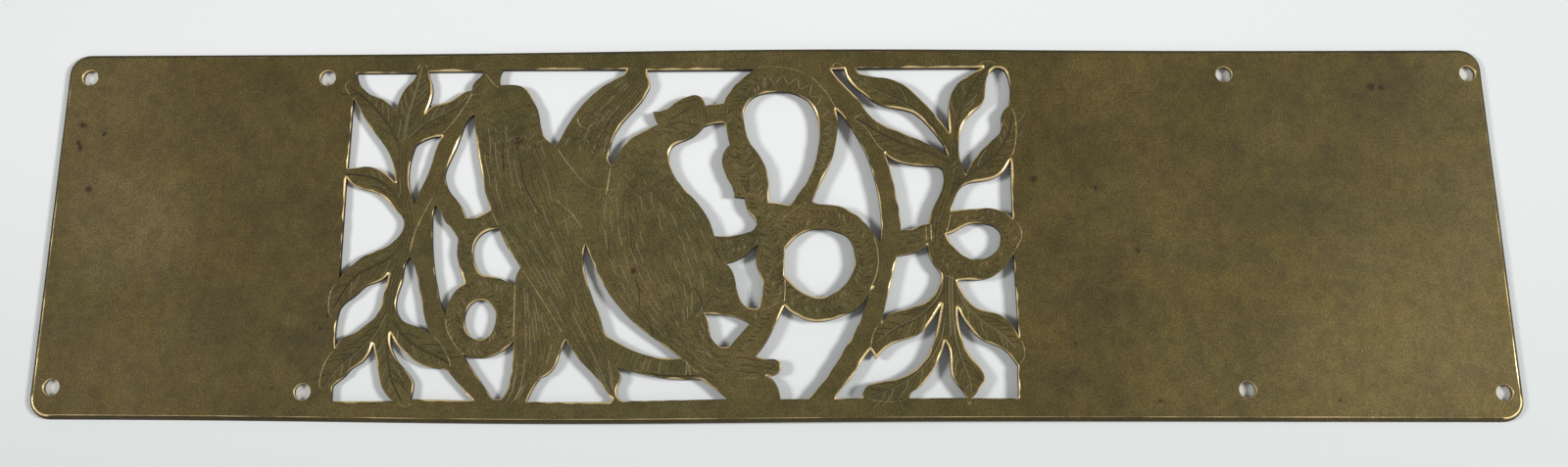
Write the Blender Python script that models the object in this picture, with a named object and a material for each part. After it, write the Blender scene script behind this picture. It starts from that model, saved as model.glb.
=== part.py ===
"""A kick plate sawn and drilled from one sheet of brass, lying on its back.

The left and right parts are plain. Left of the middle the sheet is pierced round an eagle
that fights a snake, inside a ring of two arcs, with a leafy sprig on each side.

Lengths below are in millimetres and become metres when the mesh is made.
+X runs along the plate, +Y up the face, +Z out of the face. The back lies on Z = 0 and the
origin is at the middle of the bounding box.
"""

import math

import bpy
from mathutils import Vector
from mathutils.geometry import delaunay_2d_cdt

MM = 0.001

LENGTH = 406.4  # 16 in
HEIGHT = 104.8  # 4 1/8 in, at the two ends
THICKNESS = 2.0
CORNER_RADIUS = 5.8
EDGE_ROUND = 1.3  # the worn edge all round the face
EDGE_STEPS = 4
CORNER_STEPS = 8

# The hand-filed long edges swell a little: (middle of the swelling, half width, height).
TOP_SWELL = (15.0, 80.0, 1.1)
BOTTOM_SWELL = (-60.0, 75.0, 1.0)
LONG_EDGE_STEP = 12.0

HOLE_RADIUS = 2.3  # clears a No. 8 wood screw
HOLE_BREAK = 0.25  # the broken edge of each hole, on the face
HOLE_SIDES = 24
SCREW_HOLES = [
    (-196.8, 45.4),
    (-127.2, 45.1),
    (130.4, 45.2),
    (199.2, 45.2),
    (-197.4, -43.8),
    (-127.6, -45.0),
    (129.7, -44.0),
    (198.2, -44.7),
]

MOST_TURN = math.radians(11)  # between two short straight steps of a smooth run

# Each opening goes round once. C marks a corner that the saw turned; the other points lie on
# the smooth runs between corners. Two corners in a row have a straight cut between them.
C = True

LEFT_SPRIG = {
    "above the corner leaf": [
        (-118.9, 46.6, C), (-101.1, 46.6, C), (-102.3, 44.1), (-104.4, 41.8),
        (-105.5, 39.6), (-106.1, 37.6), (-106.9, 35.1, C), (-108.2, 36.8),
        (-110.7, 38.6), (-114.8, 40.2), (-116.6, 41.8), (-118.0, 43.5),
    ],
    "right of the upright leaf": [
        (-98.0, 47.0, C), (-82.0, 47.0, C), (-82.4, 45.6), (-84.0, 44.0),
        (-84.9, 42.6), (-85.1, 41.1, C), (-87.4, 40.6), (-89.0, 39.6), (-90.9, 38.3),
        (-93.5, 37.4), (-96.0, 36.6), (-98.3, 34.3, C), (-97.2, 36.9), (-96.6, 39.4),
        (-96.5, 41.3), (-96.9, 43.6), (-97.7, 45.6),
    ],
    "under the corner leaf": [
        (-119.4, 39.2, C), (-118.2, 37.2), (-116.8, 34.8), (-114.8, 31.6),
        (-112.5, 28.7), (-110.0, 25.6), (-107.9, 22.5), (-106.7, 19.6), (-106.1, 16.8),
        (-105.6, 13.9, C), (-107.9, 16.1), (-110.1, 17.6), (-112.2, 18.4),
        (-114.3, 18.6), (-117.0, 18.3), (-119.6, 18.0, C),
    ],
    "the large bay on the left": [
        (-119.8, 15.6, C), (-118.0, 13.6), (-115.1, 12.2), (-112.1, 11.4),
        (-109.7, 10.3), (-107.3, 8.4), (-104.9, 5.9), (-103.1, 4.1), (-102.3, 2.4),
        (-102.5, 0.4), (-103.3, -1.2), (-104.7, -2.8), (-106.4, -4.2), (-110.4, -6.0),
        (-112.9, -7.1), (-115.1, -8.8), (-117.0, -10.4), (-119.7, -13.8, C),
    ],
    "between the stem and the ring, high": [
        (-93.0, 27.5, C), (-95.0, 27.4), (-97.1, 26.8), (-99.0, 25.9), (-100.3, 25.0),
        (-101.0, 23.2), (-101.6, 20.6), (-101.9, 18.0), (-101.9, 15.4), (-101.5, 12.7),
        (-100.7, 10.4), (-99.7, 7.4, C), (-98.9, 10.2), (-97.6, 13.2), (-96.6, 15.6),
        (-95.6, 18.8), (-94.9, 21.8), (-94.2, 24.6),
    ],
    "between the stem and the ring, low": [
        (-100.1, -7.6, C), (-101.4, -9.4), (-101.8, -11.8), (-102.1, -14.6),
        (-102.9, -17.4), (-103.3, -20.4), (-102.8, -23.2), (-101.4, -25.2),
        (-99.0, -26.4), (-96.2, -27.3), (-93.3, -28.9, C), (-94.6, -25.8),
        (-95.9, -21.1), (-97.0, -16.6), (-98.2, -11.4), (-99.2, -8.8),
    ],
    "between the two leaves that lap the plate": [
        (-105.8, -12.2, C), (-107.7, -13.9), (-110.1, -14.9), (-112.2, -15.7),
        (-113.8, -17.2), (-115.5, -18.8), (-117.4, -20.2), (-118.8, -21.8),
        (-119.4, -23.8, C), (-119.4, -33.0, C), (-117.6, -30.2), (-115.0, -29.2),
        (-112.7, -27.8), (-110.5, -26.0), (-108.9, -24.5), (-107.9, -22.6),
        (-107.2, -19.8), (-106.6, -16.8),
    ],
    "the bottom left corner": [
        (-109.1, -31.6, C), (-110.0, -34.6), (-111.4, -36.5), (-113.2, -37.8),
        (-114.8, -38.8), (-116.2, -40.6), (-117.8, -41.9), (-119.5, -43.4, C),
        (-119.5, -47.5, C), (-102.4, -47.4, C), (-104.6, -45.4), (-106.0, -43.0),
        (-106.9, -40.2), (-107.6, -37.4), (-108.2, -34.8),
    ],
    "between the lowest leaf and the long one": [
        (-104.3, -28.6, C), (-103.0, -31.2), (-101.1, -33.3), (-98.9, -35.3),
        (-96.6, -36.9), (-94.0, -38.0), (-91.2, -38.5), (-88.4, -38.9), (-87.0, -40.2),
        (-85.2, -42.2), (-83.6, -44.1), (-82.0, -45.7), (-80.2, -47.2, C),
        (-97.6, -46.9, C), (-97.3, -44.8), (-97.2, -42.6), (-98.1, -40.8),
        (-99.8, -38.8), (-101.6, -36.9), (-103.1, -34.6), (-104.1, -31.8),
    ],
}

EAGLE = {
    "between the ring and the left wing": [
        (-83.9, 34.0, C), (-85.4, 32.9), (-86.6, 30.9), (-87.6, 27.9), (-88.7, 24.4),
        (-90.2, 20.7), (-91.3, 17.8), (-91.6, 15.8), (-91.1, 13.7), (-90.0, 11.4),
        (-88.3, 9.4), (-86.7, 7.3), (-85.6, 5.2), (-84.9, 3.6, C), (-82.5, 3.8),
        (-80.2, 4.8), (-78.1, 5.9, C), (-78.7, 7.6), (-79.7, 10.6), (-80.8, 15.2),
        (-82.2, 21.2), (-83.2, 27.0), (-83.6, 30.6),
    ],
    "between the wings": [
        (-76.4, 47.5, C), (-40.4, 47.5, C), (-41.2, 45.6, C), (-44.6, 43.8),
        (-47.5, 42.0), (-50.2, 39.6), (-52.7, 37.0), (-54.9, 34.0), (-56.6, 31.2),
        (-58.0, 28.6), (-59.2, 26.2), (-60.4, 24.6, C), (-62.2, 25.8), (-63.8, 27.8),
        (-64.8, 30.2), (-65.3, 32.8), (-65.9, 35.4), (-67.1, 38.0), (-68.5, 40.4),
        (-70.0, 41.9), (-71.8, 42.6), (-73.6, 42.8), (-76.9, 42.6, C), (-77.1, 46.0),
    ],
    "over the head and beak": [
        (-34.6, 47.2, C), (-3.7, 47.3, C), (-5.2, 45.9), (-7.0, 44.6), (-8.9, 42.8),
        (-10.6, 40.7), (-11.7, 38.9), (-12.4, 37.2, C), (-15.0, 36.9), (-17.6, 36.3, C),
        (-18.0, 37.7), (-19.0, 39.0), (-20.6, 39.6), (-22.6, 39.2), (-24.8, 38.4),
        (-26.3, 37.3), (-27.9, 35.9), (-29.8, 34.9), (-32.7, 34.6, C), (-32.2, 33.0),
        (-30.8, 30.8, C), (-34.0, 29.6), (-36.3, 28.4), (-38.4, 27.1), (-40.3, 25.4),
        (-41.8, 22.8), (-43.0, 20.4), (-44.1, 18.8, C), (-45.2, 20.4), (-45.1, 22.6),
        (-44.5, 25.2), (-43.5, 28.1), (-41.9, 30.8), (-39.9, 33.3), (-37.6, 35.9),
        (-35.9, 38.0), (-34.7, 40.2), (-33.8, 42.2), (-33.8, 44.0), (-34.4, 45.6),
    ],
    "between the breast and the snake's head": [
        (-12.2, 31.4, C), (-15.0, 31.2), (-18.2, 30.2, C), (-19.6, 28.6),
        (-21.0, 27.4), (-23.2, 26.3), (-25.2, 25.5), (-26.9, 24.4), (-27.8, 22.6),
        (-27.9, 20.4), (-27.3, 18.2), (-26.3, 15.8), (-24.8, 13.5), (-22.6, 11.1),
        (-20.2, 8.5), (-18.1, 5.8), (-16.5, 3.2), (-15.5, 0.6), (-14.8, -1.7, C),
        (-11.8, -1.7), (-8.8, -1.4), (-6.0, -0.8), (-4.0, 0.0), (-3.0, 1.7),
        (-3.5, 3.3), (-4.9, 4.8), (-5.8, 6.4), (-6.2, 8.2), (-6.6, 9.5, C),
        (-9.3, 9.6, C), (-9.9, 12.8), (-11.0, 14.8), (-12.1, 17.2), (-12.8, 19.6),
        (-12.5, 21.9), (-11.8, 23.4), (-10.6, 24.6, C), (-11.0, 26.6), (-11.6, 29.0),
    ],
    "the crescent under the body": [
        (-50.9, -3.7, C), (-49.8, -6.6), (-48.4, -9.8), (-46.8, -13.2), (-44.9, -16.5),
        (-42.6, -19.7), (-40.2, -22.5), (-37.6, -25.2), (-34.8, -27.6), (-31.8, -29.8),
        (-28.5, -32.1), (-25.8, -34.1), (-23.6, -35.8, C), (-26.8, -35.7),
        (-30.2, -35.4), (-34.0, -34.7), (-37.1, -33.5), (-40.1, -31.9), (-44.2, -29.4),
        (-45.4, -27.6), (-46.0, -25.6), (-46.8, -23.2), (-48.0, -20.6), (-49.0, -18.0),
        (-50.0, -15.2), (-50.8, -12.4), (-51.4, -9.0), (-51.5, -6.4),
    ],
    "between the tail feathers": [
        (-55.6, -30.5, C), (-54.1, -32.9), (-52.5, -35.2), (-50.2, -37.7),
        (-48.0, -39.8), (-46.2, -41.9), (-44.7, -43.8), (-43.6, -45.4),
        (-42.3, -46.6, C), (-43.0, -47.6, C), (-65.8, -47.6, C), (-65.2, -46.0),
        (-64.2, -44.0), (-63.0, -42.0), (-62.2, -41.0, C), (-60.4, -40.2),
        (-59.0, -38.8), (-57.9, -36.8), (-57.2, -34.4),
    ],
    "under the branch": [
        (-41.3, -38.2, C), (-38.4, -39.0), (-35.0, -39.8), (-31.8, -40.5),
        (-28.4, -41.1), (-25.0, -41.4), (-21.8, -41.5), (-18.5, -41.3), (-16.9, -42.2),
        (-15.0, -43.5), (-13.0, -45.0), (-11.0, -46.8, C), (-39.2, -47.4, C),
        (-40.8, -46.2), (-41.3, -44.6), (-40.9, -43.0), (-40.2, -41.4), (-40.4, -39.8),
    ],
    "behind the claw, high": [
        (-11.6, -9.3, C), (-9.4, -8.8), (-7.4, -7.9), (-5.6, -6.6), (-4.2, -5.2),
        (-2.3, -4.2, C), (-3.1, -6.6), (-3.2, -9.0), (-2.6, -11.3), (-1.8, -13.2),
        (-1.2, -15.4), (-1.5, -18.0), (-2.0, -20.2), (-2.7, -21.9, C), (-4.8, -21.8, C),
        (-6.4, -20.9), (-7.7, -18.9), (-8.5, -16.6), (-8.9, -14.4), (-9.5, -12.2),
        (-10.4, -10.6),
    ],
    "behind the claw, low": [
        (-17.3, -23.3, C), (-14.0, -23.6), (-10.6, -23.9), (-7.8, -24.7),
        (-4.8, -26.2, C), (-6.6, -28.1), (-8.4, -30.2), (-10.7, -32.6, C),
        (-13.0, -32.6, C), (-14.7, -31.2), (-15.7, -29.5), (-16.0, -27.2),
        (-16.6, -25.0),
    ],
}

SNAKE = {
    "in the bend of the tail": [
        (-75.4, 0.6, C), (-77.6, 0.3), (-79.6, -0.5), (-81.2, -1.9), (-82.3, -3.9),
        (-82.5, -6.2), (-82.0, -8.9), (-81.0, -11.0), (-79.4, -12.6, C), (-77.0, -12.9),
        (-74.6, -13.6), (-72.2, -14.7, C), (-70.3, -14.7, C), (-69.9, -12.6),
        (-68.9, -10.4, C), (-70.6, -8.0), (-72.4, -5.4), (-74.0, -2.2),
    ],
    "between the ring and the tail": [
        (-93.8, 7.5, C), (-92.8, 6.2), (-91.8, 4.6), (-90.8, 2.6), (-89.3, 1.0),
        (-87.8, -0.8), (-86.8, -2.4, C), (-86.9, -4.3), (-86.9, -6.6), (-86.1, -9.9),
        (-85.2, -13.0), (-84.5, -15.0, C), (-86.0, -16.1), (-87.4, -18.0),
        (-88.5, -20.2), (-89.2, -23.8, C), (-90.8, -20.6), (-91.9, -16.6),
        (-92.8, -12.7), (-93.5, -8.6), (-94.0, -4.4), (-94.3, 0.6), (-94.4, 4.4),
    ],
    "below the loop of the tail": [
        (-84.0, -34.5, C), (-81.8, -35.3), (-79.4, -35.7), (-77.0, -35.4),
        (-74.6, -34.5), (-72.2, -33.1), (-70.0, -30.9, C), (-70.0, -34.4),
        (-70.2, -38.4), (-70.6, -42.0), (-71.3, -44.8), (-72.7, -46.8, C),
        (-75.2, -47.0, C), (-78.3, -42.6), (-81.4, -38.4),
    ],
    "in the high loop": [
        (0.6, 8.0, C), (0.5, 11.6), (0.3, 15.0), (-0.4, 18.0), (-1.6, 20.7),
        (-3.2, 23.0), (-4.9, 25.3), (-5.8, 27.8), (-6.4, 30.6), (-6.8, 33.4),
        (-6.3, 36.0), (-4.8, 38.2), (-2.6, 39.6), (0.0, 40.3), (2.6, 40.6),
        (5.0, 40.6), (7.2, 40.2), (9.4, 39.3), (11.5, 38.0), (13.1, 35.9),
        (14.2, 33.2), (14.8, 30.2), (14.8, 27.2), (14.5, 24.0), (13.9, 20.9),
        (12.9, 17.8), (11.6, 14.8), (9.9, 12.0), (8.2, 9.6), (6.3, 7.3, C), (3.6, 7.8),
    ],
    "in the round loop": [
        (4.9, -5.2, C), (6.3, -3.6), (8.2, -1.7), (10.6, -0.3), (13.8, 0.4),
        (17.0, 0.3), (19.9, -0.6), (22.3, -1.8), (23.8, -4.1), (24.3, -6.8),
        (24.2, -9.4), (23.5, -12.2), (22.2, -14.5), (20.4, -16.4), (18.1, -17.9),
        (15.4, -18.7), (12.6, -18.6), (10.1, -17.6), (8.0, -16.0), (6.2, -14.2),
        (4.9, -12.8, C), (4.8, -9.0),
    ],
    "between the loops and the ring": [
        (19.6, 35.3, C), (20.1, 32.0), (20.0, 28.8), (19.4, 25.0), (18.5, 21.2),
        (17.1, 17.8), (15.5, 14.6), (14.0, 11.6), (12.5, 8.2, C), (14.5, 7.5),
        (18.0, 7.2), (21.4, 6.5), (23.9, 5.1), (26.2, 3.3), (28.2, 1.0), (29.8, -1.2),
        (31.5, -3.4, C), (31.9, 0.8), (31.7, 5.2), (31.2, 10.0), (30.2, 15.0),
        (28.9, 19.6), (27.1, 24.0), (25.1, 27.8), (23.0, 31.2), (21.2, 33.8),
    ],
    "under the round loop": [
        (4.7, -21.2, C), (6.4, -22.9), (8.4, -24.0), (10.6, -25.0), (13.0, -25.5),
        (15.6, -25.4), (18.4, -24.8), (21.0, -23.8), (23.4, -22.7), (25.5, -21.1),
        (28.0, -17.8, C), (26.7, -22.2), (25.3, -25.8), (23.7, -28.9), (21.7, -32.1),
        (19.9, -35.2), (18.0, -38.2), (16.0, -41.0), (13.9, -43.4), (12.2, -45.4),
        (10.9, -46.7, C), (3.6, -46.8, C), (3.2, -44.8), (2.4, -42.9), (1.2, -41.3),
        (-0.4, -40.3, C), (1.6, -40.3), (3.0, -39.6), (3.7, -38.2), (3.6, -36.9),
        (2.5, -36.1), (0.0, -35.9), (-3.3, -35.1, C), (-1.8, -33.3), (-0.3, -31.1),
        (0.9, -28.9), (2.0, -26.7), (3.1, -24.6), (4.0, -22.7),
    ],
    "in the loop round the right stem": [
        (49.9, -1.2, C), (52.2, -0.4), (54.2, 0.8), (56.2, 1.7), (58.6, 2.1),
        (61.2, 1.8), (63.5, 1.0), (64.9, -0.6), (65.1, -2.6), (64.5, -4.7),
        (63.1, -6.4), (61.4, -7.6), (59.2, -8.3), (56.8, -8.3), (54.7, -7.3),
        (53.0, -5.9), (51.5, -4.2),
    ],
}

RIGHT_SPRIG = {
    "between the ring and the long leaf": [
        (18.4, 47.2, C), (22.2, 47.4, C), (22.8, 45.2), (24.1, 43.0), (25.9, 41.2),
        (27.6, 39.9), (29.6, 38.2), (32.3, 36.6), (35.6, 35.7), (38.9, 35.1),
        (41.9, 34.0), (44.4, 31.9), (46.6, 29.4), (48.7, 26.6), (50.2, 24.1),
        (51.1, 21.2, C), (49.0, 22.7), (45.6, 24.8), (42.2, 26.5), (38.3, 28.3),
        (34.4, 30.0), (30.8, 32.0), (28.9, 33.7), (27.6, 35.8), (26.3, 38.0),
        (24.6, 39.9), (22.6, 42.0), (20.3, 44.6),
    ],
    "above the long leaf": [
        (25.6, 47.6, C), (61.9, 47.6, C), (59.5, 46.3), (57.2, 44.9), (55.2, 43.3),
        (53.6, 41.4), (52.4, 39.0), (51.8, 36.4), (51.6, 33.6), (51.8, 28.0, C),
        (50.4, 30.0), (48.9, 32.2), (47.4, 34.2), (45.3, 36.6), (43.1, 38.9),
        (41.0, 41.0), (38.9, 42.6), (36.7, 43.7), (34.2, 44.4), (31.0, 44.8),
        (28.3, 45.3), (26.3, 46.1),
    ],
    "between the ring and the stem, high": [
        (33.2, 22.4, C), (34.9, 20.8), (36.8, 19.8), (39.2, 19.2), (42.2, 18.8),
        (45.2, 18.6), (47.8, 18.4), (49.3, 17.6), (49.8, 15.8), (49.6, 13.4),
        (48.8, 11.0), (47.5, 8.4), (46.4, 6.2), (45.6, 4.0), (45.0, 2.0, C),
        (43.4, 1.5), (41.3, 0.7), (39.4, 0.2), (37.4, 0.0, C), (37.2, 3.4),
        (36.7, 7.2), (36.0, 11.4), (35.3, 15.0), (34.5, 18.2),
    ],
    "right of the upright leaf": [
        (65.6, 47.5), (64.2, 46.5), (63.2, 44.9), (62.6, 42.8), (62.4, 40.4),
        (62.0, 38.2), (61.3, 36.7), (59.9, 35.3), (58.1, 33.7), (56.5, 31.8),
        (55.2, 29.2), (54.5, 26.4), (54.2, 23.4), (54.6, 20.2), (55.8, 15.8, C),
        (57.0, 18.2), (58.6, 20.6), (60.7, 23.0), (63.0, 25.3), (65.2, 27.2),
        (66.4, 28.9), (66.7, 31.0), (66.7, 33.0), (67.3, 34.6), (68.8, 36.2, C),
        (68.8, 45.4, C), (67.8, 47.0),
    ],
    "between the right leaf and the snake": [
        (68.8, 20.6, C), (67.9, 18.9), (66.5, 16.8), (64.5, 15.3), (62.2, 14.5),
        (60.0, 14.1), (57.2, 13.7), (54.8, 12.6), (53.2, 10.4), (52.2, 8.0),
        (51.5, 5.6, C), (54.4, 5.8), (57.6, 6.1), (61.0, 6.3), (64.2, 5.9),
        (66.6, 4.9), (68.5, 3.2, C),
    ],
    "between the ring and the stem, low": [
        (36.2, -7.2, C), (38.9, -6.8), (41.2, -6.3), (43.2, -5.2), (44.6, -3.9, C),
        (44.8, -6.2), (45.3, -7.9), (46.4, -9.8), (48.1, -12.2, C), (47.9, -14.4),
        (47.0, -16.5), (45.6, -18.5), (43.7, -20.0), (41.3, -21.1), (38.8, -21.9),
        (36.2, -22.6), (33.8, -23.4), (31.3, -26.0, C), (32.1, -22.8), (33.0, -19.4),
        (34.0, -15.8), (34.9, -12.0), (35.6, -9.4),
    ],
    "between the two lower left leaves": [
        (28.2, -33.2, C), (26.6, -35.2), (24.6, -38.2), (22.6, -41.2), (20.1, -43.9),
        (18.4, -46.6, C), (25.8, -46.4, C), (26.0, -44.8), (27.0, -43.3), (28.6, -42.4),
        (31.0, -41.9), (34.0, -41.5), (36.6, -40.7), (39.0, -39.5), (41.4, -37.8),
        (43.3, -35.6), (44.6, -33.1), (45.8, -30.4), (46.5, -27.4), (47.2, -24.2),
        (47.9, -20.8, C), (46.6, -22.8), (45.2, -25.0), (43.5, -27.2), (41.7, -28.9),
        (39.4, -30.0), (36.6, -30.8), (34.0, -31.8), (31.9, -33.4), (29.7, -35.8, C),
    ],
    "between the two bottom leaves": [
        (48.6, -30.9, C), (47.7, -33.6), (46.6, -36.2), (45.2, -38.7), (43.7, -41.0),
        (42.2, -42.7), (40.5, -43.9), (39.0, -45.0), (38.5, -46.5, C), (54.0, -46.3, C),
        (53.0, -44.4), (51.5, -42.6), (50.4, -40.8), (49.9, -38.6), (49.9, -36.0),
        (49.7, -33.2),
    ],
    "the bottom right corner": [
        (52.4, -21.6, C), (53.9, -24.9), (55.3, -27.0), (57.0, -29.1), (59.0, -30.6),
        (61.2, -31.6), (63.7, -32.6), (65.7, -34.1), (66.9, -35.7), (68.2, -37.6, C),
        (68.0, -46.4, C), (55.4, -46.4, C), (56.8, -44.9), (58.2, -43.1), (59.2, -41.2),
        (58.7, -39.3), (57.3, -37.2), (55.7, -35.2), (54.3, -32.9), (53.3, -30.2),
        (52.7, -27.4), (52.3, -24.4),
    ],
    "under the loop round the stem": [
        (52.6, -14.3, C), (55.0, -13.9), (57.8, -14.0), (60.6, -13.6), (63.0, -12.6),
        (65.2, -10.9), (66.9, -8.8), (68.4, -6.3, C), (68.8, -29.9, C), (67.3, -27.0),
        (65.3, -24.6), (63.2, -23.4), (60.8, -22.7), (58.3, -22.0), (56.4, -20.7),
        (54.7, -18.8), (53.5, -16.6),
    ],
}

# The small eye in the loop of the tail is a plain oval: (middle, half width, half height).
TAIL_EYE = ((-79.6, -25.1), 4.4, 5.5)
TAIL_EYE_SIDES = 28


def swell(x, shape):
    """How far a long edge stands out at this x."""
    middle, half_width, height = shape
    return height * math.exp(-(((x - middle) / half_width) ** 2))


def plate_outline(inset):
    """The edge of the sheet, counterclockwise, moved inwards by inset."""
    half_length = LENGTH / 2
    half_height = HEIGHT / 2
    radius = CORNER_RADIUS - inset
    across = half_length - CORNER_RADIUS
    points = []
    for side, turn in ((1, -90), (1, 0), (-1, 90), (-1, 180)):
        up = 1 if turn in (0, 90) else -1
        shape = TOP_SWELL if up > 0 else BOTTOM_SWELL
        middle = (side * across, up * (half_height - CORNER_RADIUS))
        for step in range(CORNER_STEPS + 1):
            angle = math.radians(turn + 90 * step / CORNER_STEPS)
            x = middle[0] + radius * math.cos(angle)
            y = middle[1] + radius * math.sin(angle)
            points.append((x, y + up * swell(x, shape)))
        if turn in (0, 180):
            steps = round(2 * across / LONG_EDGE_STEP)
            for step in range(1, steps):
                x = side * across * (1 - 2 * step / steps)
                y = half_height - inset + swell(x, shape)
                points.append((x, up * y))
    return points


def ellipse(middle, half_width, half_height, sides):
    """An oval loop."""
    angles = [2 * math.pi * step / sides for step in range(sides)]
    return [
        (middle[0] + half_width * math.cos(a), middle[1] + half_height * math.sin(a))
        for a in angles
    ]


def slopes(points, closed):
    """The slope at each point, per millimetre, weighing the nearer neighbour more."""
    found = []
    count = len(points)
    for i, here in enumerate(points):
        if closed or 0 < i < count - 1:
            before = points[i - 1]
            after = points[(i + 1) % count]
            back = here - before
            ahead = after - here
            near = back.length
            far = ahead.length
            found.append((back * (far / near) + ahead * (near / far)) / (near + far))
        else:
            found.append(None)
    if not closed:
        for end, inner in ((0, 1), (-1, -2)):
            chord = (points[inner] - points[end]) * (1 if end == 0 else -1)
            chord = chord / chord.length
            found[end] = chord if found[inner] is None else 2 * chord - found[inner]
    return found


def smooth_run(run, closed=False):
    """Short straight steps along the smooth curve through these points, without its end."""
    points = [Vector(p[:2]) for p in run]
    if len(points) == 2:
        return [tuple(points[0])]
    slope = slopes(points, closed)
    stepped = []
    spans = len(points) if closed else len(points) - 1
    for i in range(spans):
        start = points[i]
        end = points[(i + 1) % len(points)]
        length = (end - start).length
        leave = slope[i] * length
        arrive = slope[(i + 1) % len(points)] * length
        chord = end - start
        bend = leave.angle(chord) + chord.angle(arrive)
        steps = min(4, max(1, math.ceil(bend / MOST_TURN)))
        for step in range(steps):
            t = step / steps
            place = (2 * t**3 - 3 * t**2 + 1) * start + (t**3 - 2 * t**2 + t) * leave
            place += (3 * t**2 - 2 * t**3) * end + (t**3 - t**2) * arrive
            stepped.append(tuple(place))
    return stepped


def opening_loop(points):
    """One opening as a closed loop of short straight steps."""
    corners = [i for i, p in enumerate(points) if len(p) == 3]
    if not corners:
        return smooth_run(points, closed=True)
    loop = []
    for which, first in enumerate(corners):
        last = corners[(which + 1) % len(corners)]
        if last <= first:
            last += len(points)
        run = [points[i % len(points)] for i in range(first, last + 1)]
        loop += smooth_run(run)
    return loop


def filled(loops):
    """(points, triangles, loops as point numbers) of the flat sheet: loop 0 less the rest."""
    coords = []
    members = []
    for loop in loops:
        first = len(coords)
        coords += [Vector(p) for p in loop]
        members.append(list(range(first, len(coords))))
    found = delaunay_2d_cdt(coords, [], members, 2, 1e-6)
    points, triangles, came_from = found[0], found[2], found[3]
    where = {old: new for new, olds in enumerate(came_from) for old in olds}
    rings = [[where[number] for number in loop] for loop in members]
    return points, triangles, rings


def signed_area(loop):
    """Positive for a loop that goes counterclockwise."""
    ahead = loop[1:] + loop[:1]
    return sum(p[0] * q[1] - q[0] * p[1] for p, q in zip(loop, ahead)) / 2


def plate_mesh():
    """Vertices and faces of the whole sheet."""
    cuts = [
        opening_loop(points)
        for group in (LEFT_SPRIG, EAGLE, SNAKE, RIGHT_SPRIG)
        for points in group.values()
    ]
    cuts.append(ellipse(*TAIL_EYE, TAIL_EYE_SIDES))
    cuts = [cut if signed_area(cut) < 0 else cut[::-1] for cut in cuts]

    def drilled(radius):
        return [ellipse(middle, radius, radius, HOLE_SIDES)[::-1] for middle in SCREW_HOLES]

    vertices = []
    faces = []

    def place(ring, z):
        first = len(vertices)
        vertices.extend((x, y, z) for x, y in ring)
        return list(range(first, len(vertices)))

    def lay(loops, z, facing_up):
        """A filled flat face; returns the vertex numbers of each of its loops."""
        points, polygons, rings = filled(loops)
        numbers = place(points, z)
        for polygon in polygons:
            corners = [numbers[i] for i in polygon]
            turns_left = signed_area([points[i] for i in polygon]) > 0
            faces.append(corners if turns_left == facing_up else corners[::-1])
        return [[numbers[i] for i in ring] for ring in rings]

    def join(lower, upper):
        """A wall between two rings of as many points; metal is on the left as they go."""
        for i, here in enumerate(lower):
            after = (i + 1) % len(lower)
            faces.append((here, lower[after], upper[after], upper[i]))

    back = lay([plate_outline(0.0), *cuts, *drilled(HOLE_RADIUS)], 0.0, False)
    front_holes = drilled(HOLE_RADIUS + HOLE_BREAK)
    front = lay([plate_outline(EDGE_ROUND), *cuts, *front_holes], THICKNESS, True)

    below = back[0]
    for step in range(EDGE_STEPS):
        angle = math.radians(90 * step / EDGE_STEPS)
        inset = EDGE_ROUND * (1 - math.cos(angle))
        z = THICKNESS - EDGE_ROUND * (1 - math.sin(angle))
        ring = place(plate_outline(inset), z)
        join(below, ring)
        below = ring
    join(below, front[0])

    first_hole = 1 + len(cuts)
    for lower, upper in zip(back[1:first_hole], front[1:first_hole]):
        join(lower, upper)
    bores = drilled(HOLE_RADIUS)
    for bore, lower, upper in zip(bores, back[first_hole:], front[first_hole:]):
        neck = place(bore, THICKNESS - HOLE_BREAK)
        join(lower, neck)
        join(neck, upper)
    return vertices, faces


def aged_brass():
    """The dull olive brown of old brass."""
    material = bpy.data.materials.new("aged_brass")
    material.use_nodes = True
    shader = material.node_tree.nodes["Principled BSDF"]
    shader.inputs["Base Color"].default_value = (0.13, 0.1, 0.045, 1.0)
    shader.inputs["Metallic"].default_value = 0.8
    shader.inputs["Roughness"].default_value = 0.5
    return material


for left_over in list(bpy.data.objects):
    bpy.data.objects.remove(left_over)

plate_vertices, plate_faces = plate_mesh()
highs = [max(v[1] for v in plate_vertices), min(v[1] for v in plate_vertices)]
middle_y = sum(highs) / 2
mesh = bpy.data.meshes.new("brass_plate")
mesh.from_pydata(
    [(x * MM, (y - middle_y) * MM, z * MM) for x, y, z in plate_vertices], [], plate_faces
)
mesh.materials.append(aged_brass())
plate = bpy.data.objects.new("brass_plate", mesh)
bpy.context.scene.collection.objects.link(plate)
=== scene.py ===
"""The pierced and engraved brass kick plate, lying on a white table.

The CAD plate gives the outline, the openings and the screw holes. Here the same sheet is
built again with a finer mesh: its edges are rounded, the engraving is cut as real grooves,
and the brass is aged. Lengths below are in millimetres and become metres in the mesh.
"""

import math
import random

import bpy
from mathutils import Matrix, Vector, noise
from mathutils.geometry import delaunay_2d_cdt
from mathutils.kdtree import KDTree


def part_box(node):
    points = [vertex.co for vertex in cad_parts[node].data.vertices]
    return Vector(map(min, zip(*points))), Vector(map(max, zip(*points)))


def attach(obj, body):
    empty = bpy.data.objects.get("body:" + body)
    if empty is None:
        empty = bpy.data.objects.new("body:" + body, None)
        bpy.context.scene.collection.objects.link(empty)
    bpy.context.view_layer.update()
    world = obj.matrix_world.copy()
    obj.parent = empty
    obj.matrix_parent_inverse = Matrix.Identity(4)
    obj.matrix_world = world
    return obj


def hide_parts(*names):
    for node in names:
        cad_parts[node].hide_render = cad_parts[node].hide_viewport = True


MM = 0.001

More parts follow.
